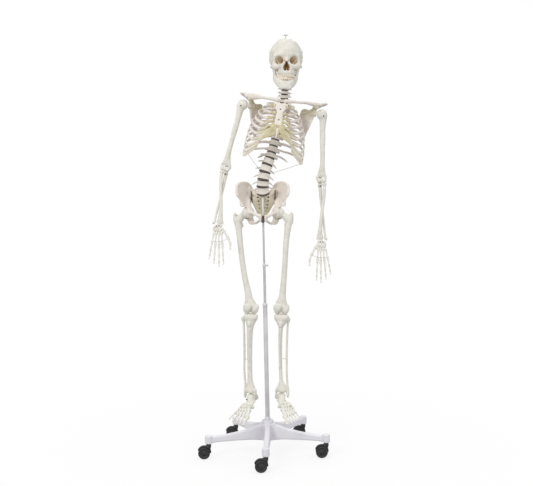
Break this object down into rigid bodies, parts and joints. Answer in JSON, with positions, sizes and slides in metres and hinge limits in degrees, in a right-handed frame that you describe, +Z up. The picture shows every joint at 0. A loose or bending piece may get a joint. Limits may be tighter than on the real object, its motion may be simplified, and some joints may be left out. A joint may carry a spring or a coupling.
{
  "type": "human skeleton model",
  "caption": "Life-size human skeleton with jointed limbs, flexible spine and lift-off skull cap, hung by the pelvis on a five-leg roller stand.",
  "frame": {"origin": "centre of the bounding box at floor level, close to the foot of the pole", "axes": "+Z up; the skeleton faces -Y, its left side is towards +X"},
  "size_m": [0.5814, 0.516, 1.7756],
  "materials": {
    "bone": "satin ivory plastic",
    "rib_bone": "satin ivory plastic, slightly pinker",
    "disc_rubber": "matt dark grey-brown",
    "steel": "satin",
    "white_plastic": "satin white",
    "black_plastic": "satin black"
  },
  "bodies": {
    "stand": {"base_star": "white_plastic", "stand_pole": "steel", "support_rod": "steel"},
    "thumb_screw": {"thumb_screw": "black_plastic"},
    "caster_swivel_1": {"caster_hood_1": "black_plastic"},
    "caster_roll_1": {"caster_wheels_1": "black_plastic"},
    "caster_swivel_2": {"caster_hood_2": "black_plastic"},
    "caster_roll_2": {"caster_wheels_2": "black_plastic"},
    "caster_swivel_3": {"caster_hood_3": "black_plastic"},
    "caster_roll_3": {"caster_wheels_3": "black_plastic"},
    "caster_swivel_4": {"caster_hood_4": "black_plastic"},
    "caster_roll_4": {"caster_wheels_4": "black_plastic"},
    "caster_swivel_5": {"caster_hood_5": "black_plastic"},
    "caster_roll_5": {"caster_wheels_5": "black_plastic"},
    "pelvis": {"sacrum": "bone", "hip_bone_right": "bone", "hip_bone_left": "bone", "pubic_symphysis": "disc_rubber"},
    "L5": {"vertebra_L5": "bone"},
    "L4": {"vertebra_L4": "bone"},
    "L3": {"vertebra_L3": "bone"},
    "L2": {"vertebra_L2": "bone"},
    "L1": {"vertebra_L1": "bone"},
    "thorax": {"thoracic_spine": "bone", "rib_cage": "rib_bone", "clavicle_right": "rib_bone", "clavicle_left": "rib_bone", "scapula_right": "rib_bone", "scapula_left": "rib_bone"},
    "neck_lower": {"neck_lower": "bone"},
    "neck_middle": {"neck_middle": "bone"},
    "neck_upper": {"neck_upper": "bone"},
    "atlas": {"atlas": "bone"},
    "skull": {"cranium": "bone"},
    "skull_cap": {"skull_cap": "bone", "hanger_eye": "steel"},
    "mandible": {"mandible": "bone"},
    "shoulder_cross_right": {"shoulder_pin_right": "steel"},
    "upper_arm_right": {"humerus_right": "bone"},
    "forearm_right": {"ulna_right": "bone", "radius_right": "bone"},
    "hand_right": {"hand_right": "bone"},
    "hip_cross_right": {"hip_pin_right": "steel"},
    "thigh_right": {"femur_right": "bone", "patella_right": "bone"},
    "shin_right": {"tibia_right": "bone", "fibula_right": "bone"},
    "foot_right": {"foot_right": "bone"},
    "shoulder_cross_left": {"shoulder_pin_left": "steel"},
    "upper_arm_left": {"humerus_left": "bone"},
    "forearm_left": {"ulna_left": "bone", "radius_left": "bone"},
    "hand_left": {"hand_left": "bone"},
    "hip_cross_left": {"hip_pin_left": "steel"},
    "thigh_left": {"femur_left": "bone", "patella_left": "bone"},
    "shin_left": {"tibia_left": "bone", "fibula_left": "bone"},
    "foot_left": {"foot_left": "bone"}
  },
  "joints": [
    {"name": "stand_turn", "type": "hinge", "parent": "stand", "child": "pelvis", "pos_m": [0.00667, 0.02174, 1.05], "axis": [0, 0, 1], "continuous": true},
    {"name": "thumb_screw_turn", "type": "hinge", "parent": "stand", "child": "thumb_screw", "pos_m": [0.00667, 0.02174, 0.805], "axis": [1, 0, 0], "continuous": true},
    {"name": "back_side_bend", "type": "hinge", "parent": "pelvis", "child": "L5", "pos_m": [0.00967, 0.02974, 1.111], "axis": [-0.0202, 0.9604, 0.2779], "range_deg": [-6, 6]},
    {"name": "back_forward_bend", "type": "hinge", "parent": "L5", "child": "L4", "pos_m": [0.00767, 0.02174, 1.1385], "axis": [0.9945, 0, -0.1047], "range_deg": [-5, 8]},
    {"name": "back_side_bend_2", "type": "hinge", "parent": "L4", "child": "L3", "pos_m": [0.01067, 0.01774, 1.167], "axis": [-0.013, 0.9981, -0.0595], "range_deg": [-6, 6]},
    {"name": "back_forward_bend_2", "type": "hinge", "parent": "L3", "child": "L2", "pos_m": [0.01767, 0.01974, 1.199], "axis": [0.9424, 0, -0.3344], "range_deg": [-5, 8]},
    {"name": "back_side_bend_3", "type": "hinge", "parent": "L2", "child": "L1", "pos_m": [0.02867, 0.02574, 1.23], "axis": [-0.1001, 0.9672, -0.2335], "range_deg": [-6, 6]},
    {"name": "back_forward_bend_3", "type": "hinge", "parent": "L1", "child": "thorax", "pos_m": [0.04067, 0.03374, 1.258], "axis": [0.9191, 0, -0.3939], "range_deg": [-5, 8]},
    {"name": "neck_forward_bend", "type": "hinge", "parent": "thorax", "child": "neck_lower", "pos_m": [0.10527, 0.03374, 1.489], "axis": [0.9974, 0, -0.0715], "range_deg": [-7, 7]},
    {"name": "neck_side_bend", "type": "hinge", "parent": "neck_lower", "child": "neck_middle", "pos_m": [0.10767, 0.02174, 1.5225], "axis": [0.0098, 0.9958, 0.0909], "range_deg": [-7, 7]},
    {"name": "neck_forward_bend_2", "type": "hinge", "parent": "neck_middle", "child": "neck_upper", "pos_m": [0.11117, 0.01874, 1.555], "axis": [0.9971, 0, -0.0755], "range_deg": [-7, 7]},
    {"name": "head_turn", "type": "hinge", "parent": "neck_upper", "child": "atlas", "pos_m": [0.11367, 0.02374, 1.588], "axis": [0.0542, 0.2166, 0.9748], "range_deg": [-60, 60]},
    {"name": "head_nod", "type": "hinge", "parent": "atlas", "child": "skull", "pos_m": [0.11467, 0.02774, 1.606], "axis": [1, 0, 0], "range_deg": [-12, 12]},
    {"name": "jaw_open", "type": "hinge", "parent": "skull", "child": "mandible", "pos_m": [0.11467, 0.01374, 1.632], "axis": [-1, 0, 0], "range_deg": [-18, 0]},
    {"name": "skull_cap_lift", "type": "slide", "parent": "skull", "child": "skull_cap", "axis": [0, 0, 1], "range_m": [0, 0.08]},
    {"name": "arm_out_right", "type": "hinge", "parent": "thorax", "child": "shoulder_cross_right", "pos_m": [-0.06733, 0.02174, 1.488], "axis": [0, 1, 0], "range_deg": [0, 70]},
    {"name": "arm_swing_right", "type": "hinge", "parent": "shoulder_cross_right", "child": "upper_arm_right", "pos_m": [-0.06733, 0.02174, 1.488], "axis": [-0.9571, 0, 0.2896], "range_deg": [-15, 95]},
    {"name": "elbow_right", "type": "hinge", "parent": "upper_arm_right", "child": "forearm_right", "pos_m": [-0.14933, 0.02174, 1.217], "axis": [-0.9571, 0, 0.2896], "range_deg": [-3, 115]},
    {"name": "wrist_right", "type": "hinge", "parent": "forearm_right", "child": "hand_right", "pos_m": [-0.18483, -0.00826, 0.982], "axis": [0.9998, 0, 0.0199], "range_deg": [-35, 45]},
    {"name": "hip_out_right", "type": "hinge", "parent": "pelvis", "child": "hip_cross_right", "pos_m": [-0.06093, 0.02174, 1.029], "axis": [0.3421, 0.9396, -0.0064], "range_deg": [0, 18]},
    {"name": "hip_swing_right", "type": "hinge", "parent": "hip_cross_right", "child": "thigh_right", "pos_m": [-0.06093, 0.02174, 1.029], "axis": [-0.9395, 0.342, -0.0181], "range_deg": [-15, 85]},
    {"name": "knee_right", "type": "hinge", "parent": "thigh_right", "child": "shin_right", "pos_m": [-0.05483, 0.01674, 0.6185], "axis": [0.9393, -0.3419, -0.0285], "range_deg": [0, 95]},
    {"name": "ankle_right", "type": "hinge", "parent": "shin_right", "child": "foot_right", "pos_m": [-0.06433, 0.02174, 0.245], "axis": [0.9135, -0.4067, 0], "range_deg": [-20, 25]},
    {"name": "arm_out_left", "type": "hinge", "parent": "thorax", "child": "shoulder_cross_left", "pos_m": [0.26367, 0.02174, 1.439], "axis": [0, -1, 0], "range_deg": [-2, 80]},
    {"name": "arm_swing_left", "type": "hinge", "parent": "shoulder_cross_left", "child": "upper_arm_left", "pos_m": [0.26367, 0.02174, 1.439], "axis": [0.9997, 0, -0.025], "range_deg": [-95, 15]},
    {"name": "elbow_left", "type": "hinge", "parent": "upper_arm_left", "child": "forearm_left", "pos_m": [0.25667, 0.02174, 1.159], "axis": [0.9997, 0, -0.025], "range_deg": [-115, 3]},
    {"name": "wrist_left", "type": "hinge", "parent": "forearm_left", "child": "hand_left", "pos_m": [0.25267, 0.01174, 0.904], "axis": [0.9987, 0, -0.0511], "range_deg": [-35, 45]},
    {"name": "hip_out_left", "type": "hinge", "parent": "pelvis", "child": "hip_cross_left", "pos_m": [0.07427, 0.02174, 1.026], "axis": [-0.242, -0.9702, 0.011], "range_deg": [0, 18]},
    {"name": "hip_swing_left", "type": "hinge", "parent": "hip_cross_left", "child": "thigh_left", "pos_m": [0.07427, 0.02174, 1.026], "axis": [-0.9703, 0.2419, -0.0062], "range_deg": [-15, 85]},
    {"name": "knee_left", "type": "hinge", "parent": "thigh_left", "child": "shin_left", "pos_m": [0.07567, 0.01674, 0.614], "axis": [0.9701, -0.2419, -0.0191], "range_deg": [0, 95]},
    {"name": "ankle_left", "type": "hinge", "parent": "shin_left", "child": "foot_left", "pos_m": [0.06967, 0.02174, 0.245], "axis": [0.9426, 0.3338, 0], "range_deg": [-20, 25]},
    {"name": "wheel_swivel_1", "type": "hinge", "parent": "stand", "child": "caster_swivel_1", "pos_m": [0.25052, -0.06846, 0.06], "axis": [0, 0, 1], "continuous": true},
    {"name": "wheel_swivel_2", "type": "hinge", "parent": "stand", "child": "caster_swivel_2", "pos_m": [0.16781, 0.22578, 0.06], "axis": [0, 0, 1], "continuous": true},
    {"name": "wheel_swivel_3", "type": "hinge", "parent": "stand", "child": "caster_swivel_3", "pos_m": [-0.13759, 0.23805, 0.06], "axis": [0, 0, 1], "continuous": true},
    {"name": "wheel_swivel_4", "type": "hinge", "parent": "stand", "child": "caster_swivel_4", "pos_m": [-0.24363, -0.04861, 0.06], "axis": [0, 0, 1], "continuous": true},
    {"name": "wheel_swivel_5", "type": "hinge", "parent": "stand", "child": "caster_swivel_5", "pos_m": [-0.00376, -0.23805, 0.06], "axis": [0, 0, 1], "continuous": true},
    {"name": "wheel_roll_1", "type": "hinge", "parent": "caster_swivel_1", "child": "caster_roll_1", "pos_m": [0.23052, -0.06846, 0.025], "axis": [0, 1, 0], "continuous": true},
    {"name": "wheel_roll_2", "type": "hinge", "parent": "caster_swivel_2", "child": "caster_roll_2", "pos_m": [0.14781, 0.22578, 0.025], "axis": [0, 1, 0], "continuous": true},
    {"name": "wheel_roll_3", "type": "hinge", "parent": "caster_swivel_3", "child": "caster_roll_3", "pos_m": [-0.15759, 0.23805, 0.025], "axis": [0, 1, 0], "continuous": true},
    {"name": "wheel_roll_4", "type": "hinge", "parent": "caster_swivel_4", "child": "caster_roll_4", "pos_m": [-0.26363, -0.04861, 0.025], "axis": [0, 1, 0], "continuous": true},
    {"name": "wheel_roll_5", "type": "hinge", "parent": "caster_swivel_5", "child": "caster_roll_5", "pos_m": [-0.02376, -0.23805, 0.025], "axis": [0, 1, 0], "continuous": true}
  ],
  "couplings": [
    {"joint": "back_side_bend_2", "follows": "back_side_bend", "ratio": 1},
    {"joint": "back_side_bend_3", "follows": "back_side_bend", "ratio": 1},
    {"joint": "back_forward_bend_2", "follows": "back_forward_bend", "ratio": 1},
    {"joint": "back_forward_bend_3", "follows": "back_forward_bend", "ratio": 1},
    {"joint": "neck_forward_bend_2", "follows": "neck_forward_bend", "ratio": 1}
  ]
}
